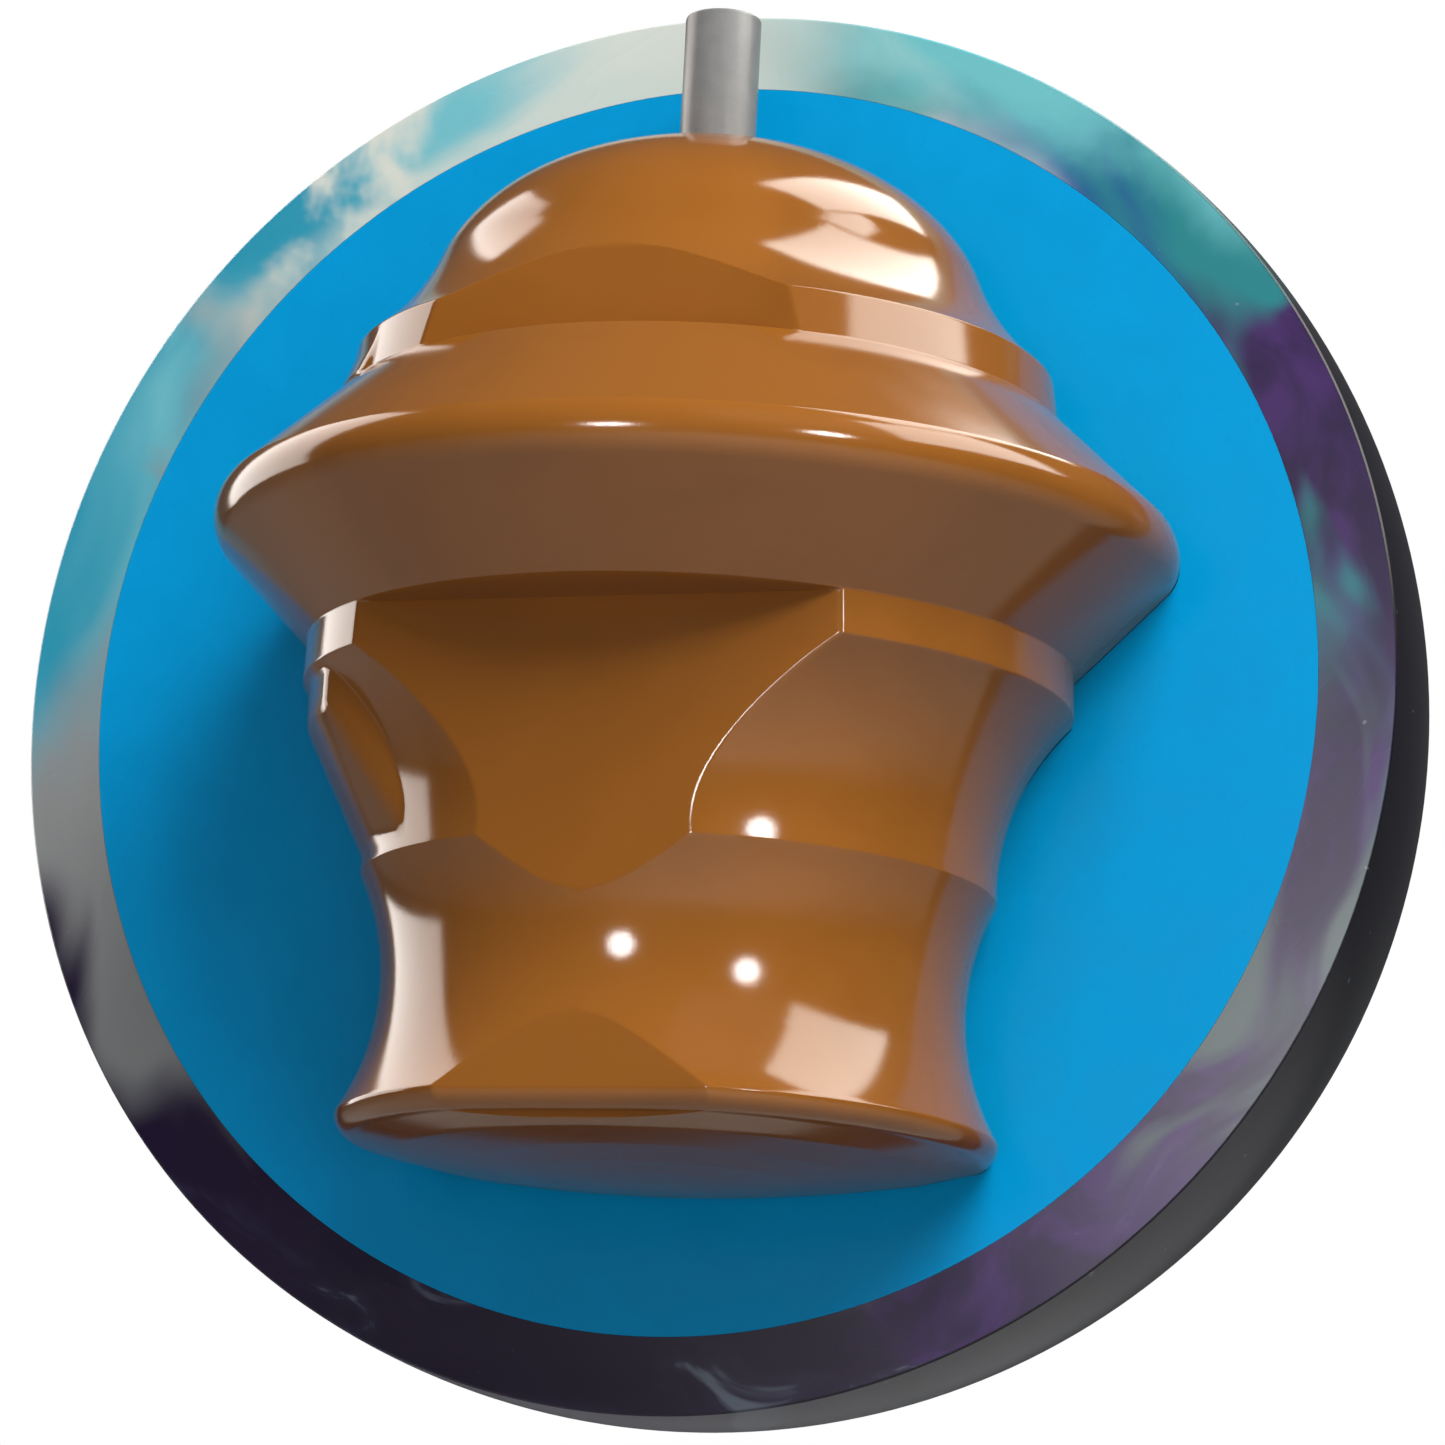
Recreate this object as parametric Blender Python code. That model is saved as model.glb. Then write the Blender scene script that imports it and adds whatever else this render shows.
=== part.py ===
"""Sectioned bowling ball: rear part of the coverstock and filler, whole weight block, pin.

Metres, +Z up. The origin is the centre of the ball. The ball is cut by one vertical plane,
and everything in front of it (towards -Y) is taken away except the weight block and the pin.
The weight block's upright axis stands in front of that plane, so more than half of it is proud.
"""
import math

import bmesh
import bpy
from mathutils import Matrix, Vector

MM = 0.001

# ---------------------------------------------------------------- driving dimensions
BALL_RADIUS = 108.5 * MM
COVER_WALL = 11.4 * MM
CUT_Y = -12.0 * MM              # the cut plane
GAP = 0.3 * MM                  # clearance between neighbouring pieces

AXIS_X = 6.6 * MM               # the weight block's upright axis
AXIS_Y = -32.0 * MM
PIN_RADIUS = 5.7 * MM
PIN_SEAT_Z = 69.5 * MM          # floor of the pin's socket in the weight block
PIN_TOP_Z = 100.3 * MM

# weight block, as (radius, height) of its outline, from the top down
DOME_TOP_Z = 79.2 * MM
DOME_BASE_Z = 51.9 * MM
DOME_RADIUS = 41.9 * MM
FLARE_TOP_ANGLE = math.radians(14.7)
RING_TOP = (51.8 * MM, 44.2 * MM)
RING_FOOT = (52.8 * MM, 37.5 * MM)
BRIM_EDGE_TOP = (70.1 * MM, 21.6 * MM)
BRIM_EDGE_FOOT = (69.2 * MM, 13.6 * MM)
BAND_TOP = (56.4 * MM, 0.6 * MM)
BAND_FOOT = (56.6 * MM, -5.8 * MM)
RIDGE = (46.4 * MM, -33.7 * MM)
FOOT_RADIUS = 48.0 * MM
FOOT_ROUND = 3.0 * MM           # rounding of the foot's rim
FOOT_FACE_Z = -72.0 * MM
FOOT_CROWN_Z = -76.5 * MM

# how far each arc of the outline turns between its two ends
FLARE_TURN = math.radians(31)
BRIM_EDGE_TURN = math.radians(85)
SCOOP_TURN = math.radians(47)
WAIST_TURN = math.radians(58)

UPPER_FLAT = 44.6 * MM          # distances of the two front flats from the block's axis
LOWER_FLAT = 43.6 * MM

# side lugs, which fill the scoop and the ring between two upright walls
LUG_HALF_WIDTH = 35.7 * MM
LUG_RADIUS = 55.6 * MM
LUG_SHOULDER_Z = -12.5 * MM
LUG_FOOT = (45.6 * MM, -32.5 * MM)
LUG_CORE = 6.0 * MM             # how far the lugs reach into the block behind its surface
LUG_INNER_X = -20.0 * MM
COLLAR_TOP = (51.3 * MM, 44.1 * MM)
COLLAR_FOOT = (54.0 * MM, 37.3 * MM)

BALL_STEPS = 60                 # facets round the ball
POLE_STEPS = 15                 # facets from the cut face to the back of the ball
BLOCK_STEPS = 62                # facets round the weight block
LUG_STEPS = 50                  # facets round the lugs, never in line with the block's own
PIN_STEPS = 24                  # facets round the pin

# ---------------------------------------------------------------- derived dimensions
COVER_INNER = BALL_RADIUS - COVER_WALL + GAP / 2
FILLER_RADIUS = BALL_RADIUS - COVER_WALL - GAP / 2
BLOCK_PLACE = Matrix.Translation((AXIS_X, AXIS_Y, 0.0)) @ Matrix.Rotation(math.pi / BLOCK_STEPS, 4, 'Z')
LIE_BACK = Matrix.Rotation(math.radians(-90), 4, 'X')   # turns local +Z to point along +Y
FAR = 3.0 * BALL_RADIUS         # beyond every piece, for the cutters
MITRE_LIMIT = 0.3               # least cosine that a grown outline's corner is stretched by
MERGE = 1e-6                    # points closer than this are one
SHARP_DEGREES = 30


# ---------------------------------------------------------------- outlines
def arc(start, end, turn, steps):
    """Points after start, up to end, of an arc that turns by the given angle, positive to the left."""
    a = Vector(start)
    chord = Vector(end) - a
    points = []
    for i in range(1, steps + 1):
        swept = turn * i / steps
        length = chord.length * math.sin(swept / 2) / math.sin(turn / 2)
        heading = (swept - turn) / 2
        direction = Matrix.Rotation(heading, 2) @ chord.normalized()
        points.append(tuple(a + direction * length))
    return points


def dome(steps):
    """The weight block's elliptical top, from the crown to where the flare takes over."""
    points = [(0.0, DOME_TOP_Z)]
    for i in range(1, steps + 1):
        angle = math.pi / 2 + (FLARE_TOP_ANGLE - math.pi / 2) * i / steps
        radius = DOME_RADIUS * math.cos(angle)
        height = DOME_BASE_Z + (DOME_TOP_Z - DOME_BASE_Z) * math.sin(angle)
        points.append((radius, height))
    return points


def block_outline():
    """Outline of the turned weight block, from its crown to the middle of its foot."""
    points = dome(9)
    points += arc(points[-1], RING_TOP, FLARE_TURN, 5)
    points += [RING_FOOT, BRIM_EDGE_TOP]
    points += arc(BRIM_EDGE_TOP, BRIM_EDGE_FOOT, -BRIM_EDGE_TURN, 6)
    points += [BAND_TOP, BAND_FOOT]
    points += arc(BAND_FOOT, RIDGE, SCOOP_TURN, 6)
    rim_top = (FOOT_RADIUS, FOOT_FACE_Z + FOOT_ROUND)
    points += arc(RIDGE, rim_top, WAIST_TURN, 8)
    points += arc(rim_top, (FOOT_RADIUS - FOOT_ROUND, FOOT_FACE_Z), -math.pi / 2, 3)
    crown_drop = FOOT_CROWN_Z - FOOT_FACE_Z
    for share in (0.6, 0.3, 0.0):
        points.append((share * FOOT_RADIUS, FOOT_FACE_Z + crown_drop * (1 - share ** 2)))
    return points


def lug_outline():
    """Outline of the lower side lug, a plain shoulder where the rest of the block is scooped."""
    top_z = BAND_TOP[1] + LUG_CORE
    foot_z = LUG_FOOT[1] - LUG_CORE
    return [(0.0, top_z), (LUG_RADIUS, top_z), (LUG_RADIUS, LUG_SHOULDER_Z), LUG_FOOT,
            (LUG_FOOT[0] - LUG_CORE, foot_z), (0.0, foot_z)]


def collar_outline():
    """Outline of the upper side lug, which stands a little proud of the ring."""
    foot_z = COLLAR_FOOT[1] - LUG_CORE
    return [(0.0, COLLAR_TOP[1]), COLLAR_TOP, COLLAR_FOOT, (COLLAR_FOOT[0], foot_z), (0.0, foot_z)]


def grown(points, distance):
    """An outline moved outwards by a distance, with mitred corners."""
    result = []
    last = len(points) - 1
    for i, (radius, height) in enumerate(points):
        before = Vector(points[max(i - 1, 0)])
        here = Vector(points[i])
        after = Vector(points[min(i + 1, last)])
        sides = [(here - before), (after - here)]
        normals = [Vector((-s.y, s.x)).normalized() for s in sides if s.length > 0]
        middle = sum(normals, Vector((0.0, 0.0))).normalized()
        reach = distance / max(middle.dot(normals[0]), MITRE_LIMIT)
        moved = here + middle * reach
        result.append((0.0, moved.y) if radius == 0.0 else tuple(moved))
    return result


# ---------------------------------------------------------------- mesh tools
def new_object(name, mesh_data):
    """Link a finished bmesh to the scene under a name."""
    bmesh.ops.recalc_face_normals(mesh_data, faces=mesh_data.faces)
    mesh = bpy.data.meshes.new(name)
    mesh_data.to_mesh(mesh)
    mesh_data.free()
    item = bpy.data.objects.new(name, mesh)
    bpy.context.scene.collection.objects.link(item)
    return item


def turned(name, outline, steps, place=Matrix()):
    """A solid turned about local Z from an outline whose two ends lie on that axis."""
    bm = bmesh.new()
    verts = [bm.verts.new((radius, 0.0, height)) for radius, height in outline]
    edges = [bm.edges.new(pair) for pair in zip(verts, verts[1:])]
    bmesh.ops.spin(bm, geom=verts + edges, cent=(0, 0, 0), axis=(0, 0, 1), dvec=(0, 0, 0),
                   angle=2 * math.pi, steps=steps, use_merge=False, use_duplicate=False)
    bmesh.ops.remove_doubles(bm, verts=bm.verts, dist=MERGE)
    bmesh.ops.transform(bm, matrix=place, verts=bm.verts)
    return new_object(name, bm)


def box(name, low, high):
    """A box between two corners."""
    bm = bmesh.new()
    size = Vector(high) - Vector(low)
    middle = (Vector(high) + Vector(low)) / 2
    bmesh.ops.create_cube(bm, size=1.0, matrix=Matrix.Translation(middle) @ Matrix.Diagonal(size.to_4d()))
    return new_object(name, bm)


def rod(name, radius, low_z, high_z):
    """An upright cylinder on the weight block's axis."""
    outline = [(0.0, high_z), (radius, high_z), (radius, low_z), (0.0, low_z)]
    return turned(name, outline, PIN_STEPS, BLOCK_PLACE)


def combine(item, other, operation):
    """Apply one exact Boolean to item, and remove the other object."""
    modifier = item.modifiers.new(operation.lower(), 'BOOLEAN')
    modifier.operation = operation
    modifier.solver = 'EXACT'
    modifier.object = other
    depsgraph = bpy.context.evaluated_depsgraph_get()
    result = bpy.data.meshes.new_from_object(item.evaluated_get(depsgraph))
    item.modifiers.clear()
    item.data = result
    bpy.data.objects.remove(other, do_unlink=True)
    return item


def tidy(item):
    """Merge the Boolean's leftovers and shade the round faces smooth."""
    bm = bmesh.new()
    bm.from_mesh(item.data)
    bmesh.ops.dissolve_degenerate(bm, edges=bm.edges, dist=MERGE)
    bm.to_mesh(item.data)
    bm.free()
    item.data.shade_smooth()
    item.data.set_sharp_from_angle(angle=math.radians(SHARP_DEGREES))


def paint(item, color, roughness, metallic=0.0):
    """Give an object its own Principled material."""
    material = bpy.data.materials.new(item.name)
    material.use_nodes = True
    shader = material.node_tree.nodes['Principled BSDF']
    shader.inputs['Base Color'].default_value = (*color, 1.0)
    shader.inputs['Roughness'].default_value = roughness
    shader.inputs['Metallic'].default_value = metallic
    item.data.materials.clear()
    item.data.materials.append(material)


# ---------------------------------------------------------------- the pieces
def side_lug(name, outline, growth):
    """A lug on the block's -X side: a turned solid kept between two upright walls."""
    half = LUG_HALF_WIDTH + growth
    solid = turned(name, grown(outline, growth) if growth else outline, LUG_STEPS, BLOCK_PLACE)
    low = (-FAR, AXIS_Y - half, -FAR)
    high = (AXIS_X + LUG_INNER_X, AXIS_Y + half, FAR)
    room = box('lug_room', low, high)
    return combine(solid, room, 'INTERSECT')


def block_body(name, growth=0.0):
    """The weight block before its flat and its socket are cut, larger all over by growth."""
    outline = block_outline()
    body = turned(name, grown(outline, growth) if growth else outline, BLOCK_STEPS, BLOCK_PLACE)
    combine(body, side_lug('lower_lug', lug_outline(), growth), 'UNION')
    combine(body, side_lug('upper_lug', collar_outline(), growth), 'UNION')
    return body


def make_weight_block():
    body = block_body('weight_block')
    above_brim = (UPPER_FLAT, RING_FOOT[1], FAR)
    below_brim = (LOWER_FLAT, -FAR, BAND_TOP[1])
    for depth, low_z, high_z in (above_brim, below_brim):
        cutter = box('flat_cutter', (-FAR, -FAR, low_z), (FAR, AXIS_Y - depth, high_z))
        combine(body, cutter, 'DIFFERENCE')
    combine(body, rod('socket_cutter', PIN_RADIUS + GAP, PIN_SEAT_Z, FAR), 'DIFFERENCE')
    tidy(body)
    paint(body, (0.31, 0.13, 0.03), 0.22)


def shell_outline(radius, steps):
    """Quarter arc of a ball that is cut at CUT_Y, as (radius, depth), from the cut's edge to the back."""
    first = math.asin(CUT_Y / radius)
    angles = [first + (math.pi / 2 - first) * i / steps for i in range(steps + 1)]
    points = [(radius * math.cos(a), radius * math.sin(a)) for a in angles]
    points[-1] = (0.0, radius)
    return points


def make_coverstock():
    outer = shell_outline(BALL_RADIUS, POLE_STEPS)
    inner = shell_outline(COVER_INNER, POLE_STEPS)
    cover = turned('coverstock', inner[::-1] + outer, BALL_STEPS, LIE_BACK)
    tidy(cover)
    paint(cover, (0.07, 0.33, 0.40), 0.15)


def make_filler():
    outer = shell_outline(FILLER_RADIUS, POLE_STEPS)
    filler = turned('filler', [(0.0, CUT_Y)] + outer, BALL_STEPS, LIE_BACK)
    combine(filler, block_body('block_seat', GAP), 'DIFFERENCE')
    tidy(filler)
    paint(filler, (0.0, 0.32, 0.73), 0.30)


def make_pin():
    pin = rod('pin', PIN_RADIUS, PIN_SEAT_Z + GAP, PIN_TOP_Z)
    tidy(pin)
    paint(pin, (0.33, 0.33, 0.32), 0.38)


for existing in list(bpy.data.objects):
    bpy.data.objects.remove(existing, do_unlink=True)
make_coverstock()
make_filler()
make_weight_block()
make_pin()
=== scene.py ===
"""Looks of the sectioned bowling ball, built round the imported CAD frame.

Metres, +Z up, origin at the ball's centre. The cut face looks towards -Y, and the weight block's
upright axis stands a little in front of it. Every CAD node is stood for by a finer mesh of the same
shape and size, with its edges eased, and carries a procedural material.
"""
import math

import bmesh
import bpy
import numpy as np
from mathutils import Matrix, Vector


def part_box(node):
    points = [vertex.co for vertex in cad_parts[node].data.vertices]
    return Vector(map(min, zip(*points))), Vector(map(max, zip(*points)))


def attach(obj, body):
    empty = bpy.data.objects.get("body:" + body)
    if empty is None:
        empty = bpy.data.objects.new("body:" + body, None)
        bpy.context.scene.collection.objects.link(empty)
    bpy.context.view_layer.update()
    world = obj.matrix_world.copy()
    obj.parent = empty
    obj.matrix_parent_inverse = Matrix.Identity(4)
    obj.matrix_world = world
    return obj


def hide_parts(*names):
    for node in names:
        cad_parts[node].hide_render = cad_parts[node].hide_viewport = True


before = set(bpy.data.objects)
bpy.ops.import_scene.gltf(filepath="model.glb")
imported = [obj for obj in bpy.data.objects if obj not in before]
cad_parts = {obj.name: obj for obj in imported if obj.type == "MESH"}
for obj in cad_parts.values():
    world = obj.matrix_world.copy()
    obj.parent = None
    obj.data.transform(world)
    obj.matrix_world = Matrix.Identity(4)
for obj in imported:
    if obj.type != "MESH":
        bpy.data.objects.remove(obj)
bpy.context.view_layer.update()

MM = 0.001

# ---------------------------------------------------------------- sizes read from the frame
BALL_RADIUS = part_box("coverstock")[1].y
CUT_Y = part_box("coverstock")[0].y
FILLER_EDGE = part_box("filler")[1].y
PIN_TOP_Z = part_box("pin")[1].z

# ---------------------------------------------------------------- the design's own dimensions
AXIS_X = 6.6 * MM                # the weight block's upright axis, in front of the cut plane
AXIS_Y = -32.0 * MM
PIN_RADIUS = 5.7 * MM
PIN_SEAT_Z = 69.5 * MM
DOME_TOP_Z = 79.2 * MM
DOME_BASE_Z = 51.9 * MM
DOME_RADIUS = 41.9 * MM
FLARE_TOP_ANGLE = math.radians(14.7)
RING_TOP = (51.8 * MM, 44.2 * MM)
RING_FOOT = (52.8 * MM, 37.5 * MM)
BRIM_EDGE_TOP = (70.1 * MM, 21.6 * MM)
BRIM_EDGE_FOOT = (69.2 * MM, 13.6 * MM)
BAND_TOP = (56.4 * MM, 0.6 * MM)
BAND_FOOT = (56.6 * MM, -5.8 * MM)
RIDGE = (46.4 * MM, -33.7 * MM)
FOOT_RADIUS = 48.0 * MM
FOOT_FACE_Z = -72.0 * MM
FOOT_CROWN_Z = -76.5 * MM
FOOT_ROUND = 3.0 * MM
FLARE_TURN = math.radians(31)
BRIM_EDGE_TURN = math.radians(85)
SCOOP_TURN = math.radians(47)
WAIST_TURN = math.radians(58)
UPPER_FLAT = 44.6 * MM          # distances of the two front flats from the block's axis
LOWER_FLAT = 43.6 * MM
LUG_HALF_WIDTH = 35.7 * MM
LUG_RADIUS = 55.6 * MM
LUG_SHOULDER_Z = -12.5 * MM
LUG_FOOT = (45.6 * MM, -32.5 * MM)
COLLAR_TOP = (51.3 * MM, 44.1 * MM)
COLLAR_FOOT = (54.0 * MM, 37.3 * MM)

# ---------------------------------------------------------------- how finely the looks are made
SEAM = 0.05 * MM                # visible joint between neighbouring pieces
INSET = 0.04 * MM               # how far the fine block lies inside the CAD block's own skin
EDGE_ROUND = 0.5 * MM           # easing of the weight block's edges
LUG_ROUND = 2.4 * MM            # the cast rounding of the side lug's upright corners
ROW_STEP = 1.0 * MM
LEDGE_STEP = 0.12 * MM
LEDGE_DEPTH = 0.3 * MM
SHARP_CORNER = math.radians(12)
COLUMNS = (24, 12, 56, 14, 22, 40, 124)   # columns between the block's upright edges, all round
CLUSTER = 0.9                   # how strongly columns crowd towards those edges
BALL_STEPS = 256
POLE_STEPS = 80
PIN_STEPS = 96
CUT_EASE = 0.25 * MM


# ---------------------------------------------------------------- outlines
def arc(start, end, turn, steps):
    """Points after start, up to end, of an arc that turns by the given angle, positive to the left."""
    a = Vector(start)
    chord = Vector(end) - a
    points = []
    for i in range(1, steps + 1):
        swept = turn * i / steps
        length = chord.length * math.sin(swept / 2) / math.sin(turn / 2)
        direction = Matrix.Rotation((swept - turn) / 2, 2) @ chord.normalized()
        points.append(tuple(a + direction * length))
    return points


def rounded(points, radius):
    """An outline whose sharp corners are small arcs."""
    result = [points[0]]
    for before, here, after in zip(points, points[1:], points[2:]):
        corner = Vector(here)
        back = Vector(before) - corner
        ahead = Vector(after) - corner
        turn = math.pi - back.angle(ahead)
        if turn < SHARP_CORNER:
            result.append(here)
            continue
        reach = min(radius * math.tan(turn / 2), 0.45 * back.length, 0.45 * ahead.length)
        start = corner + back.normalized() * reach
        end = corner + ahead.normalized() * reach
        for t in (0.0, 0.25, 0.5, 0.75, 1.0):
            result.append(tuple(start * (1 - t) ** 2 + corner * 2 * t * (1 - t) + end * t ** 2))
    result.append(points[-1])
    return result


def block_outline(socket_radius):
    """The turned weight block as (radius, height), from its socket's floor to the middle of its foot."""
    dome_start = math.acos(socket_radius / DOME_RADIUS)
    points = [(0.0, PIN_SEAT_Z), (socket_radius, PIN_SEAT_Z)]
    for i in range(25):
        angle = dome_start + (FLARE_TOP_ANGLE - dome_start) * i / 24
        height = DOME_BASE_Z + (DOME_TOP_Z - DOME_BASE_Z) * math.sin(angle)
        points.append((DOME_RADIUS * math.cos(angle), height))
    points += arc(points[-1], RING_TOP, FLARE_TURN, 14)
    points += [RING_FOOT, BRIM_EDGE_TOP]
    points += arc(BRIM_EDGE_TOP, BRIM_EDGE_FOOT, -BRIM_EDGE_TURN, 20)
    points += [BAND_TOP, BAND_FOOT]
    points += arc(BAND_FOOT, RIDGE, SCOOP_TURN, 16)
    rim_top = (FOOT_RADIUS, FOOT_FACE_Z + FOOT_ROUND)
    points += arc(RIDGE, rim_top, WAIST_TURN, 24)
    points += arc(rim_top, (FOOT_RADIUS - FOOT_ROUND, FOOT_FACE_Z), -math.pi / 2, 8)
    crown_drop = FOOT_CROWN_Z - FOOT_FACE_Z
    for share in (0.8, 0.6, 0.4, 0.2, 0.0):
        points.append((share * FOOT_RADIUS, FOOT_FACE_Z + crown_drop * (1 - share ** 2)))
    return rounded(points, EDGE_ROUND)


def block_rows(socket_radius, step=ROW_STEP):
    """The outline with extra rows, close together where a flat begins."""
    ledges = (RING_FOOT[1], BAND_TOP[1])
    points = block_outline(socket_radius)
    rows = [points[0]]
    for start, end in zip(points, points[1:]):
        length = math.dist(start, end)
        near = any(min(start[1], end[1]) < z + 2 * LEDGE_DEPTH and max(start[1], end[1]) > z - 2 * LEDGE_DEPTH
                   for z in ledges)
        count = max(1, math.ceil(length / (LEDGE_STEP if near else step)))
        for i in range(1, count + 1):
            share = i / count
            rows.append(tuple(a + (b - a) * share for a, b in zip(start, end)))
    return np.array(rows)


# ---------------------------------------------------------------- the weight block's surface
def smooth_min(a, b, reach):
    """The lesser of two surfaces, eased where they meet."""
    overlap = np.clip(reach - np.abs(a - b), 0, None)
    return np.minimum(a, b) - overlap ** 2 / (4 * reach)


def smooth_max(a, b, reach):
    """The greater of two surfaces, eased where they meet."""
    return -smooth_min(-a, -b, reach)


def lug_radius(height):
    """Outer radius of the two side lugs at each height, or 0 where there is none."""
    slope = (LUG_RADIUS - LUG_FOOT[0]) / (LUG_SHOULDER_Z - LUG_FOOT[1])
    slanted = LUG_RADIUS + (height - LUG_SHOULDER_Z) * slope
    lower = smooth_min(np.full_like(height, LUG_RADIUS), slanted, EDGE_ROUND)
    has_lower = (height < BAND_TOP[1]) & (height > LUG_FOOT[1])
    fall = (COLLAR_FOOT[0] - COLLAR_TOP[0]) / (COLLAR_TOP[1] - COLLAR_FOOT[1])
    upper = np.minimum(COLLAR_TOP[0] + (COLLAR_TOP[1] - height) * fall, COLLAR_FOOT[0])
    has_upper = (height < COLLAR_TOP[1]) & (height > COLLAR_FOOT[1] - 4 * MM)
    return np.where(has_lower, lower, np.where(has_upper, upper, 0.0))


def flat_depth(height):
    """Distance of the front flat from the axis at each height, rounded under at the foot."""
    into_round = np.clip(FOOT_FACE_Z + FOOT_ROUND - height, 0, FOOT_ROUND)
    lower = LOWER_FLAT - FOOT_ROUND + np.sqrt(FOOT_ROUND ** 2 - into_round ** 2)
    return np.where(height > BAND_TOP[1], UPPER_FLAT, lower)


def flat_share(height):
    """1 where the front flat is cut, 0 on the brim, with a short step between."""
    above = np.clip((height - RING_FOOT[1]) / LEDGE_DEPTH, 0, 1)
    below = np.clip((BAND_TOP[1] - height) / LEDGE_DEPTH, 0, 1)
    share = np.maximum(above, below)
    return share * share * (3 - 2 * share)


def block_radius(theta, radius, height):
    """Radius of the finished block at an angle from -Y towards +X, on one row of its outline."""
    cosine = np.cos(theta)
    wall = LUG_HALF_WIDTH / np.maximum(np.abs(cosine), 0.02)
    lug = lug_radius(height)
    side = smooth_min(lug, wall, LUG_ROUND)
    with_lug = smooth_max(radius, side, EDGE_ROUND)
    body = np.where((np.sin(theta) < 0) & (lug > 0), with_lug, radius)
    reach = flat_depth(height) / np.maximum(cosine, 0.05)
    ease = EDGE_ROUND * np.clip(np.abs(np.tan(theta)), 0.1, 1.5)
    trimmed = np.where(cosine > 0.05, smooth_min(body, reach, ease), body)
    return np.where(radius > 0.5 * LOWER_FLAT, body + (trimmed - body) * flat_share(height), radius)


def edge_angles(radius, height):
    """The angles of the upright edges on each row, in order from the back round the left side."""
    least = 0.012
    flat = np.arccos(np.clip(flat_depth(height) / np.maximum(radius, 1 * MM), 0, 1))
    flat = np.maximum(flat, least)
    base = np.arccos(LUG_HALF_WIDTH / np.maximum(radius, 1.03 * LUG_HALF_WIDTH))
    base = np.maximum(base, flat + least)
    corner = np.arccos(LUG_HALF_WIDTH / np.maximum(lug_radius(height), 1.03 * LUG_HALF_WIDTH))
    corner = np.maximum(corner, base + least)
    full = np.full_like(radius, math.pi)
    return [-full, base - math.pi, corner - math.pi, -corner, -base, -flat, flat, full]


def block_grid(rows):
    """Angles and radii of the fine block: its columns follow the edges of the flats and the lugs."""
    radius = rows[:, :1]
    height = rows[:, 1:]
    edges = edge_angles(radius, height)
    columns = []
    for count, low, high in zip(COLUMNS, edges, edges[1:]):
        share = np.arange(count) / count
        share = share - CLUSTER * np.sin(2 * math.pi * share) / (2 * math.pi)
        columns.append(low + (high - low) * share)
    theta = np.concatenate(columns, axis=1)
    return theta, block_radius(theta, radius, height)


def seat_grid(rows):
    """Angles and radii of the block's seat: close columns behind the axis, where it meets the filler."""
    front = np.arange(-80, 90, 20)
    behind = np.arange(90, 270, 2)
    angles = np.radians(np.sort(np.concatenate([front, (behind + 180) % 360 - 180])))
    theta = np.broadcast_to(angles, (len(rows), len(angles)))
    return theta, block_radius(theta, rows[:, :1], rows[:, 1:])


# ---------------------------------------------------------------- mesh tools
def new_piece(name, verts, faces):
    """An object from plain vertex and face lists, with its faces pointing out."""
    mesh = bpy.data.meshes.new(name)
    mesh.from_pydata(verts, [], faces)
    bm = bmesh.new()
    bm.from_mesh(mesh)
    bmesh.ops.remove_doubles(bm, verts=bm.verts, dist=1e-7)
    bmesh.ops.recalc_face_normals(bm, faces=bm.faces)
    bm.to_mesh(mesh)
    bm.free()
    piece = bpy.data.objects.new(name, mesh)
    bpy.context.scene.collection.objects.link(piece)
    return piece


def skin(name, rows, theta, radius, growth=0.0):
    """A closed solid about the block's axis from a grid of angles and radii, its end rows at a point."""
    inner = slice(1, -1)
    out = radius[inner] + growth
    x = AXIS_X + out * np.sin(theta[inner])
    y = AXIS_Y - out * np.cos(theta[inner])
    z = np.broadcast_to(rows[inner, 1:], x.shape)
    count = x.shape[1]
    verts = np.stack([x, y, z], axis=2).reshape(-1, 3).tolist()
    top, foot = len(verts), len(verts) + 1
    verts += [(AXIS_X, AXIS_Y, float(rows[0, 1])), (AXIS_X, AXIS_Y, float(rows[-1, 1]) - growth)]
    faces = []
    for row in range(x.shape[0] - 1):
        for column in range(count):
            after = (column + 1) % count
            faces.append((row * count + column, row * count + after,
                          (row + 1) * count + after, (row + 1) * count + column))
    last = (x.shape[0] - 1) * count
    for column in range(count):
        after = (column + 1) % count
        faces.append((top, after, column))
        faces.append((foot, last + column, last + after))
    return new_piece(name, verts, faces)


def turned(name, outline, steps, place=Matrix()):
    """A solid turned about local Z from an outline whose two ends lie on that axis."""
    bm = bmesh.new()
    verts = [bm.verts.new((radius, 0.0, height)) for radius, height in outline]
    edges = [bm.edges.new(pair) for pair in zip(verts, verts[1:])]
    bmesh.ops.spin(bm, geom=verts + edges, cent=(0, 0, 0), axis=(0, 0, 1), dvec=(0, 0, 0),
                   angle=2 * math.pi, steps=steps, use_merge=False, use_duplicate=False)
    bmesh.ops.remove_doubles(bm, verts=bm.verts, dist=1e-7)
    bmesh.ops.transform(bm, matrix=place, verts=bm.verts)
    bmesh.ops.recalc_face_normals(bm, faces=bm.faces)
    mesh = bpy.data.meshes.new(name)
    bm.to_mesh(mesh)
    bm.free()
    piece = bpy.data.objects.new(name, mesh)
    bpy.context.scene.collection.objects.link(piece)
    return piece


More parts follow.
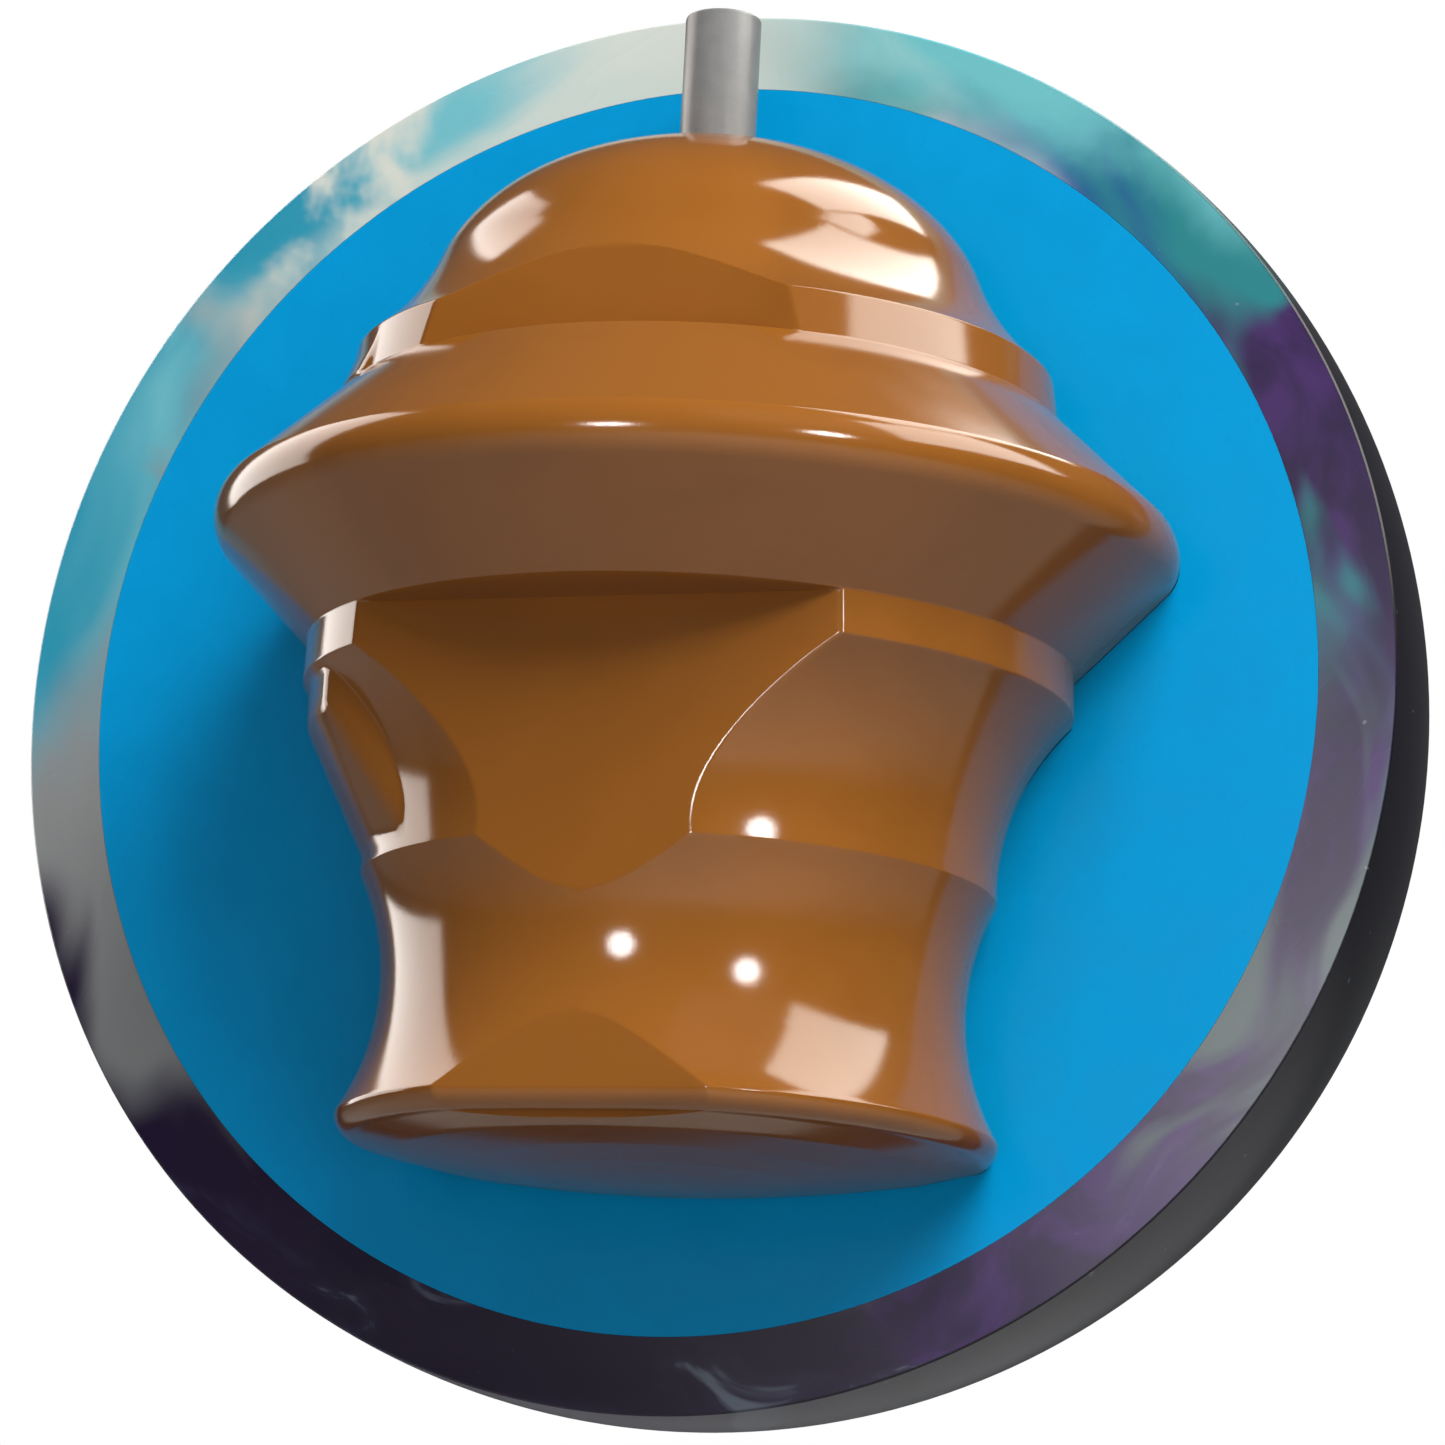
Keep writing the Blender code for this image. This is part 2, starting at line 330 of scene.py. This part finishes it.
def cut_away(piece, cutter):
    """Take the cutter out of the piece with one exact Boolean, and remove the cutter."""
    modifier = piece.modifiers.new('cut', 'BOOLEAN')
    modifier.operation = 'DIFFERENCE'
    modifier.solver = 'EXACT'
    modifier.object = cutter
    depsgraph = bpy.context.evaluated_depsgraph_get()
    result = bpy.data.meshes.new_from_object(piece.evaluated_get(depsgraph))
    piece.modifiers.clear()
    piece.data = result
    bpy.data.objects.remove(cutter, do_unlink=True)


def shade(piece, sharp_degrees):
    """Smooth shading, broken at edges sharper than the given angle."""
    piece.data.shade_smooth()
    piece.data.set_sharp_from_angle(angle=math.radians(sharp_degrees))


# ---------------------------------------------------------------- the pieces
LIE_BACK = Matrix.Rotation(math.radians(-90), 4, 'X')
UPRIGHT = Matrix.Translation((AXIS_X, AXIS_Y, 0.0))
FAR = 3 * BALL_RADIUS


def shell_arc(radius, first_depth, steps):
    """Quarter arc of a ball as (radius, depth), from a given depth to the back of the ball."""
    first = math.asin(first_depth / radius)
    angles = [first + (math.pi / 2 - first) * i / steps for i in range(steps + 1)]
    points = [(radius * math.cos(a), radius * math.sin(a)) for a in angles]
    points[-1] = (0.0, radius)
    return points


def front_cutter():
    """Everything in front of the cut plane."""
    low = Vector((-FAR, -FAR, -FAR))
    high = Vector((FAR, CUT_Y, FAR))
    corners = [(x, y, z) for x in (low.x, high.x) for y in (low.y, high.y) for z in (low.z, high.z)]
    sides = [(0, 1, 3, 2), (4, 6, 7, 5), (0, 4, 5, 1), (2, 3, 7, 6), (0, 2, 6, 4), (1, 5, 7, 3)]
    return new_piece('front', corners, sides)


def make_weight_block():
    rows = block_rows(PIN_RADIUS + SEAM)
    theta, radius = block_grid(rows)
    piece = skin('weight_block_fine', rows, theta, radius, -INSET)
    shade(piece, 50)
    return piece


def make_filler():
    nose = CUT_Y - 8 * MM
    outline = [(0.0, nose)] + shell_arc(FILLER_EDGE, nose, POLE_STEPS)
    piece = turned('filler_fine', outline, BALL_STEPS, LIE_BACK)
    rows = block_rows(PIN_RADIUS - SEAM, 2 * ROW_STEP)
    theta, radius = seat_grid(rows)
    cut_away(piece, skin('seat', rows, theta, radius, SEAM))
    cut_away(piece, front_cutter())
    shade(piece, 30)
    return piece


def make_coverstock():
    outer = shell_arc(BALL_RADIUS, CUT_Y + CUT_EASE, POLE_STEPS)
    inner = shell_arc(FILLER_EDGE + SEAM, CUT_Y, POLE_STEPS)
    rim = math.sqrt(BALL_RADIUS ** 2 - CUT_Y ** 2) - CUT_EASE
    piece = turned('coverstock_fine', inner[::-1] + [(rim, CUT_Y)] + outer, BALL_STEPS, LIE_BACK)
    shade(piece, 30)
    return piece


def make_pin():
    floor = PIN_SEAT_Z + SEAM
    outline = [(0.0, PIN_TOP_Z), (PIN_RADIUS, PIN_TOP_Z), (PIN_RADIUS, floor), (0.0, floor)]
    piece = turned('pin_fine', rounded(outline, EDGE_ROUND), PIN_STEPS, UPRIGHT)
    shade(piece, 40)
    return piece


# ---------------------------------------------------------------- material building
class Graph:
    """A material's node tree, with short calls for the nodes that the looks are made from."""

    def __init__(self, name):
        self.material = bpy.data.materials.new(name)
        self.material.use_nodes = True
        self.tree = self.material.node_tree
        self.shader = self.tree.nodes['Principled BSDF']
        self.place = self.node('ShaderNodeTexCoord').outputs['Object']

    def node(self, kind, **settings):
        item = self.tree.nodes.new(kind)
        for key, value in settings.items():
            setattr(item, key, value)
        return item

    def feed(self, socket, value):
        """Link an output to a socket, or set the socket's own value."""
        if isinstance(value, bpy.types.NodeSocket):
            self.tree.links.new(value, socket)
        elif hasattr(value, '__len__') and len(value) == 3 and socket.type == 'RGBA':
            socket.default_value = (*value, 1.0)
        else:
            socket.default_value = value

    def math(self, operation, *values):
        item = self.node('ShaderNodeMath', operation=operation)
        for socket, value in zip(item.inputs, values):
            self.feed(socket, value)
        return item.outputs[0]

    def vector(self, operation, *values):
        item = self.node('ShaderNodeVectorMath', operation=operation)
        for socket, value in zip(item.inputs, values):
            self.feed(socket, value)
        return item.outputs['Value' if operation in ('DOT_PRODUCT', 'LENGTH') else 'Vector']

    def noise(self, scale, detail=4.0, rough=0.5, distortion=0.0, at=None):
        item = self.node('ShaderNodeTexNoise')
        self.feed(item.inputs['Vector'], self.place if at is None else at)
        item.inputs['Scale'].default_value = scale
        item.inputs['Detail'].default_value = detail
        item.inputs['Roughness'].default_value = rough
        item.inputs['Distortion'].default_value = distortion
        return item

    def span(self, value, low, high, to_low=0.0, to_high=1.0):
        """Map a range smoothly onto another."""
        item = self.node('ShaderNodeMapRange', interpolation_type='SMOOTHSTEP')
        for socket, given in zip(item.inputs, (value, low, high, to_low, to_high)):
            self.feed(socket, given)
        return item.outputs[0]

    def mix(self, share, first, second, blend='MIX'):
        item = self.node('ShaderNodeMix', data_type='RGBA', blend_type=blend)
        self.feed(item.inputs[0], share)
        self.feed(item.inputs[6], first)
        self.feed(item.inputs[7], second)
        return item.outputs[2]

    def parts(self, vector):
        item = self.node('ShaderNodeSeparateXYZ')
        self.feed(item.inputs[0], vector)
        return item.outputs

    def bump(self, height, strength, distance):
        item = self.node('ShaderNodeBump')
        item.inputs['Strength'].default_value = strength
        item.inputs['Distance'].default_value = distance
        self.feed(item.inputs['Height'], height)
        self.feed(self.shader.inputs['Normal'], item.outputs['Normal'])

    def finish(self, color, roughness, **fixed):
        """Set the shader. Everything in fixed is the same all over the surface."""
        self.feed(self.shader.inputs['Base Color'], color)
        self.feed(self.shader.inputs['Roughness'], roughness)
        for name, value in fixed.items():
            self.shader.inputs[name.replace('_', ' ')].default_value = value
        return self.material


def resin():
    """Cast brown resin: even colour with faint clouding, a clear gloss and a fine grain in it."""
    g = Graph('cast_resin')
    clouds = g.span(g.noise(28, 5, 0.55, 0.6).outputs[0], 0.35, 0.65)
    color = g.mix(clouds, (0.35, 0.118, 0.0145), (0.39, 0.133, 0.0175))
    grain = g.noise(2600, 2, 0.6).outputs[0]
    rough = g.span(g.noise(55, 4, 0.6).outputs[0], 0.3, 0.7, 0.09, 0.13)
    g.bump(grain, 0.16, 0.05 * MM)
    return g.finish(color, rough, IOR=1.5)


def blue_filler():
    """Sawn and polished filler: saturated blue with faint mottling and fine pores."""
    g = Graph('blue_filler')
    mottle = g.span(g.noise(90, 6, 0.6, 0.4).outputs[0], 0.3, 0.7)
    pores = g.span(g.noise(900, 2, 0.5).outputs[0], 0.66, 0.74)
    color = g.mix(mottle, (0.0, 0.375, 0.80), (0.0, 0.395, 0.84))
    color = g.mix(g.math('MULTIPLY', pores, 0.18), color, (0.0, 0.26, 0.62))
    g.bump(g.noise(1500, 3, 0.6).outputs[0], 0.08, 0.05 * MM)
    return g.finish(color, g.span(mottle, 0, 1, 0.42, 0.5), IOR=1.15)


def pin_plastic():
    """Plain grey pin with a satin, faintly drawn surface."""
    g = Graph('pin_plastic')
    lengthwise = g.vector('MULTIPLY', g.place, (1.0, 1.0, 0.06))
    drawn = g.noise(1400, 3, 0.6, 0.0, lengthwise).outputs[0]
    color = g.mix(g.span(g.noise(240, 4, 0.6).outputs[0], 0.3, 0.7), (0.25, 0.25, 0.245), (0.29, 0.288, 0.28))
    g.bump(drawn, 0.12, 0.04 * MM)
    return g.finish(color, g.span(drawn, 0.3, 0.7, 0.3, 0.42), IOR=1.46)


# The coverstock's colours, by the name a pourer would give them, and the painted shade of its outer skin.
CREAM = (0.88, 0.89, 0.79)
MINT = (0.72, 0.84, 0.78)
GREY_DARK = (0.29, 0.30, 0.30)
GREY_LIGHT = (0.36, 0.365, 0.365)
SLATE = (0.11, 0.15, 0.155)
AQUA_DEEP = (0.03, 0.38, 0.55)
AQUA_PALE = (0.22, 0.66, 0.74)
SEA_BLUE = (0.02, 0.10, 0.34)
SEA_TEAL = (0.02, 0.27, 0.30)
SEA_FOAM = (0.18, 0.62, 0.66)
PLUM_DARK = (0.026, 0.009, 0.065)
PLUM_LIGHT = (0.065, 0.02, 0.15)
NIGHT_DARK = (0.018, 0.006, 0.042)
NIGHT_LIGHT = (0.045, 0.04, 0.1)
THREAD = (0.2, 0.25, 0.32)
# painted shade of the outer skin on its shadowed lower right side
SKIN_PAINTED_SHADE = (0.004, 0.002, 0.008)
SPECK = (0.6, 0.66, 0.7)

DRIFT_REACH = 50 * MM           # how far the poured colours wander, before anything else bends them
STREAK_LENGTH = 50 * MM         # streaks are noise laid round a small circle, so they run along the wall
SKIN_DEPTH = (0.1 * MM, 0.5 * MM)


def marbled_cover():
    """Pearl coverstock poured in several colours, which run round the ball in long soft streaks."""
    g = Graph('marbled_cover')

    def toward(x, z):
        """How far each point of the ball lies towards a direction in the cut plane, from -1 to 1."""
        unit = Vector((x, 0.0, z)).normalized()
        return g.math('DIVIDE', g.vector('DOT_PRODUCT', bent, tuple(unit)), BALL_RADIUS)

    def lobe(x, z, low, high, field, sway):
        """Share of a colour on one side of the ball, its border moved about by a noise field."""
        pushed = g.math('MULTIPLY_ADD', g.math('SUBTRACT', field, 0.5), sway, toward(x, z))
        return g.span(pushed, low, high)

    def streak(scale, detail, distortion, offset=(0.0, 0.0, 0.0)):
        """Noise that is long round the ball and narrow across its wall."""
        return g.noise(scale, detail, 0.5, distortion, g.vector('ADD', laid, offset)).outputs[0]

    drift = g.vector('SUBTRACT', g.noise(11, 2, 0.5).outputs[1], (0.5, 0.5, 0.5))
    bent = g.vector('ADD', g.place, g.vector('MULTIPLY', drift, (DRIFT_REACH,) * 3))

    # Each point's direction in the cut plane, on a small circle, and beside it its distance from the ball's
    # front-to-back axis.
    across, _, up = g.parts(bent)
    radius = g.math('SQRT', g.math('ADD', g.math('MULTIPLY', across, across), g.math('MULTIPLY', up, up)))
    flat = g.vector('NORMALIZE', g.vector('MULTIPLY', bent, (1.0, 0.0, 1.0)))
    round_x, _, round_z = g.parts(flat)
    circle = g.node('ShaderNodeCombineXYZ')
    g.feed(circle.inputs[0], g.math('MULTIPLY', round_x, STREAK_LENGTH))
    g.feed(circle.inputs[1], radius)
    g.feed(circle.inputs[2], g.math('MULTIPLY', round_z, STREAK_LENGTH))
    laid = circle.outputs[0]

    clouds = g.noise(24, 4, 0.5, 0.7).outputs[0]
    broad = streak(34, 3, 0.5)
    other = streak(30, 3, 0.6, (0.31, 0.17, 0.53))
    swirl = streak(26, 3, 0.9, (0.07, 0.41, 0.29))
    fine = streak(110, 4, 0.8)

    # Cream above, grey on the left, slate at the lower right.
    color = g.mix(g.span(clouds, 0.35, 0.65), CREAM, MINT)
    grey = g.mix(g.span(broad, 0.3, 0.7), GREY_DARK, GREY_LIGHT)
    color = g.mix(lobe(-1.0, -0.35, 0.30, 0.75, clouds, 0.4), color, grey)
    color = g.mix(lobe(0.75, -0.66, 0.0, 0.6, clouds, 0.4), color, SLATE)

    # Aqua blotches at the upper left, sea blue and teal at the upper right.
    aqua = g.mix(g.span(other, 0.35, 0.65), AQUA_DEEP, AQUA_PALE)
    blotch = g.math('MULTIPLY', g.span(clouds, 0.44, 0.56), lobe(-0.8, 0.65, 0.74, 0.92, broad, 0.4))
    color = g.mix(blotch, color, aqua)
    sea = g.mix(g.span(broad, 0.44, 0.6), SEA_BLUE, SEA_TEAL)
    sea = g.mix(lobe(0.3, 0.95, 0.82, 1.0, clouds, 0.4), sea, SEA_FOAM)
    color = g.mix(lobe(0.9, 0.75, 0.62, 0.9, broad, 0.6), color, sea)

    # Plum streaks on the right, near black at the bottom, with thin pale threads in it.
    plum = g.mix(g.span(fine, 0.35, 0.7), PLUM_DARK, PLUM_LIGHT)
    right = g.math('MULTIPLY', g.span(other, 0.44, 0.54), lobe(1.0, -0.3, 0.15, 0.55, clouds, 0.5))
    color = g.mix(right, color, plum)
    lower = g.math('MULTIPLY', g.span(swirl, 0.45, 0.55), lobe(0.75, -0.66, 0.45, 0.75, other, 0.4))
    color = g.mix(lower, color, plum)
    night = g.mix(g.span(fine, 0.5, 0.8), NIGHT_DARK, NIGHT_LIGHT)
    color = g.mix(lobe(-0.45, -0.9, 0.62, 0.76, broad, 0.7), color, night)
    threads = g.math('MULTIPLY', g.span(fine, 0.62, 0.70), lobe(0.0, -1.0, 0.5, 0.9, clouds, 0.4))
    color = g.mix(g.math('MULTIPLY', threads, 0.8), color, THREAD)

    # Painted shade: the outer skin is darkened to near black towards the lower right, where it lies in
    # shadow.
    depth = g.math('SUBTRACT', BALL_RADIUS, g.vector('LENGTH', g.place))
    painted_shade = g.span(depth, *SKIN_DEPTH, 1.0, 0.0)
    painted_shade = g.math('MULTIPLY', painted_shade, lobe(1.0, -0.35, 0.1, 0.6, clouds, 0.3))
    color = g.mix(g.math('MULTIPLY', painted_shade, 0.97), color, SKIN_PAINTED_SHADE)

    specks = g.span(g.noise(420, 1, 0.5).outputs[0], 0.76, 0.8)
    color = g.mix(g.math('MULTIPLY', specks, 0.25), color, SPECK)
    g.bump(g.noise(700, 2, 0.5).outputs[0], 0.03, 0.04 * MM)
    rough = g.span(broad, 0.3, 0.7, 0.22, 0.3)
    return g.finish(color, rough, IOR=1.4)


def paper_floor():
    """Plain pale paper."""
    g = Graph('paper_floor')
    color = g.mix(g.noise(3, 3, 0.5).outputs[0], (0.80, 0.80, 0.79), (0.84, 0.84, 0.83))
    return g.finish(color, 0.75)


# ---------------------------------------------------------------- setting
VIEW_CENTRE = Vector((0.0, CUT_Y, 0.0))
VIEW_AZIMUTH = math.radians(18.30)
VIEW_ELEVATION = math.radians(-12.44)
VIEW_ROLL = math.radians(2.99)
VIEW_DISTANCE = 0.8604
LENS = 142.3
SENSOR = 36.0
SHIFT = (0.02346, -0.01654)
FLOOR_Z = -0.32
FLOOR_HALF = 3.0
ROOM_LIGHT = 0.22               # the room as the matt colours see it
ROOM_MIRRORED = 0.09            # the room as the glossy surfaces mirror it


def add_camera():
    """The camera, looking up at the cut face from the front right."""
    data = bpy.data.cameras.new('camera')
    data.sensor_width = SENSOR
    data.lens = LENS
    data.shift_x, data.shift_y = SHIFT
    data.clip_start = 0.01
    camera = bpy.data.objects.new('camera', data)
    bpy.context.scene.collection.objects.link(camera)
    level = math.cos(VIEW_ELEVATION)
    back = Vector((math.sin(VIEW_AZIMUTH) * level, -math.cos(VIEW_AZIMUTH) * level, math.sin(VIEW_ELEVATION)))
    turn = (-back).to_track_quat('-Z', 'Y').to_matrix()
    roll = Matrix.Rotation(VIEW_ROLL, 3, 'Z')
    place = VIEW_CENTRE + back * VIEW_DISTANCE
    camera.matrix_world = Matrix.LocRotScale(place, (turn @ roll).to_quaternion(), None)
    bpy.context.scene.camera = camera


def add_panel(name, offset, size, radiance, color=(1, 1, 1), facing=None, shape='RECTANGLE'):
    """A flat lamp at an offset from the block, of one radiance, looking at the block or along facing."""
    data = bpy.data.lights.new(name, 'AREA')
    data.shape = shape
    data.size = size[0]
    data.size_y = size[1]
    area = size[0] * size[1] * (math.pi / 4 if shape == 'DISK' else 1)
    data.energy = radiance * area * math.pi
    data.color = color
    lamp = bpy.data.objects.new(name, data)
    bpy.context.scene.collection.objects.link(lamp)
    lamp.location = VIEW_CENTRE + Vector(offset)
    aim = Vector(facing) if facing else -Vector(offset)
    lamp.rotation_mode = 'QUATERNION'
    lamp.rotation_quaternion = aim.to_track_quat('-Z', 'Y')
    lamp.visible_camera = False
    return lamp


def add_lights():
    """Soft boxes that show as highlights, and a broad key and a low fill that only light the matt colour."""
    warm = (1.0, 0.98, 0.9)
    shapes = [
        add_panel('right_panel', (1.0, -0.03, 1.0), (0.86, 1.1), 8.0, warm, (-1, 0, 0)),
        add_panel('overhead_panel', (0.41, 0.45, 1.0), (0.42, 1.0), 8.0, warm, (0, 0, -1)),
        add_panel('left_panel', (-1.0, 0.22, 0.6), (0.76, 1.3), 4.6, (1.0, 0.93, 0.87), (1, 0, 0)),
        add_panel('front_lamp', (-0.03, -1.0, 0.07), (0.16, 0.16), 34.0, shape='DISK'),
        add_panel('side_lamp', (0.69, -0.68, 0.2), (0.16, 0.16), 34.0, shape='DISK'),
    ]
    for lamp in shapes:
        lamp.visible_diffuse = False
    key = add_panel('key', (0.70, -0.78, 0.95), (0.9, 0.9), 7.8)
    fill = add_panel('fill', (0.35, -1.1, -0.45), (0.9, 0.9), 1.15)
    for lamp in (key, fill):
        lamp.visible_glossy = False


def add_world():
    """A soft pale room, dimmer in reflections, and plain white where the camera looks past the part."""
    world = bpy.data.worlds.new('studio')
    bpy.context.scene.world = world
    world.use_nodes = True
    tree = world.node_tree
    tree.nodes.clear()
    path = tree.nodes.new('ShaderNodeLightPath')
    room = tree.nodes.new('ShaderNodeBackground')
    room.inputs['Color'].default_value = (0.93, 0.96, 1.0, 1.0)
    dimmer = tree.nodes.new('ShaderNodeMapRange')
    dimmer.inputs['To Min'].default_value = ROOM_LIGHT
    dimmer.inputs['To Max'].default_value = ROOM_MIRRORED
    tree.links.new(path.outputs['Is Glossy Ray'], dimmer.inputs['Value'])
    tree.links.new(dimmer.outputs['Result'], room.inputs['Strength'])
    backdrop = tree.nodes.new('ShaderNodeBackground')
    backdrop.inputs['Strength'].default_value = 1.0
    mix = tree.nodes.new('ShaderNodeMixShader')
    output = tree.nodes.new('ShaderNodeOutputWorld')
    backdrop.inputs['Color'].default_value = (1.0, 1.0, 1.0, 1.0)
    tree.links.new(path.outputs['Is Camera Ray'], mix.inputs[0])
    tree.links.new(room.outputs[0], mix.inputs[1])
    tree.links.new(backdrop.outputs[0], mix.inputs[2])
    tree.links.new(mix.outputs[0], output.inputs[0])


def add_floor():
    """A pale floor that is seen and mirrored, but throws no light up onto the part."""
    sides = ((-1, -1), (1, -1), (1, 1), (-1, 1))
    corners = [(x * FLOOR_HALF, y * FLOOR_HALF, FLOOR_Z) for x, y in sides]
    floor = new_piece('floor', corners, [(0, 1, 2, 3)])
    floor.data.materials.append(paper_floor())
    floor.visible_diffuse = False


# ---------------------------------------------------------------- putting it together
PIECES = [
    (make_coverstock, marbled_cover, 'coverstock'),
    (make_filler, blue_filler, 'filler'),
    (make_weight_block, resin, 'weight_block'),
    (make_pin, pin_plastic, 'pin'),
]

for make, material, node in PIECES:
    piece = make()
    piece.data.materials.clear()
    piece.data.materials.append(material())
    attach(piece, "root")
    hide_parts(node)

add_camera()
add_world()
add_lights()
add_floor()
bpy.context.scene.view_settings.view_transform = 'Standard'
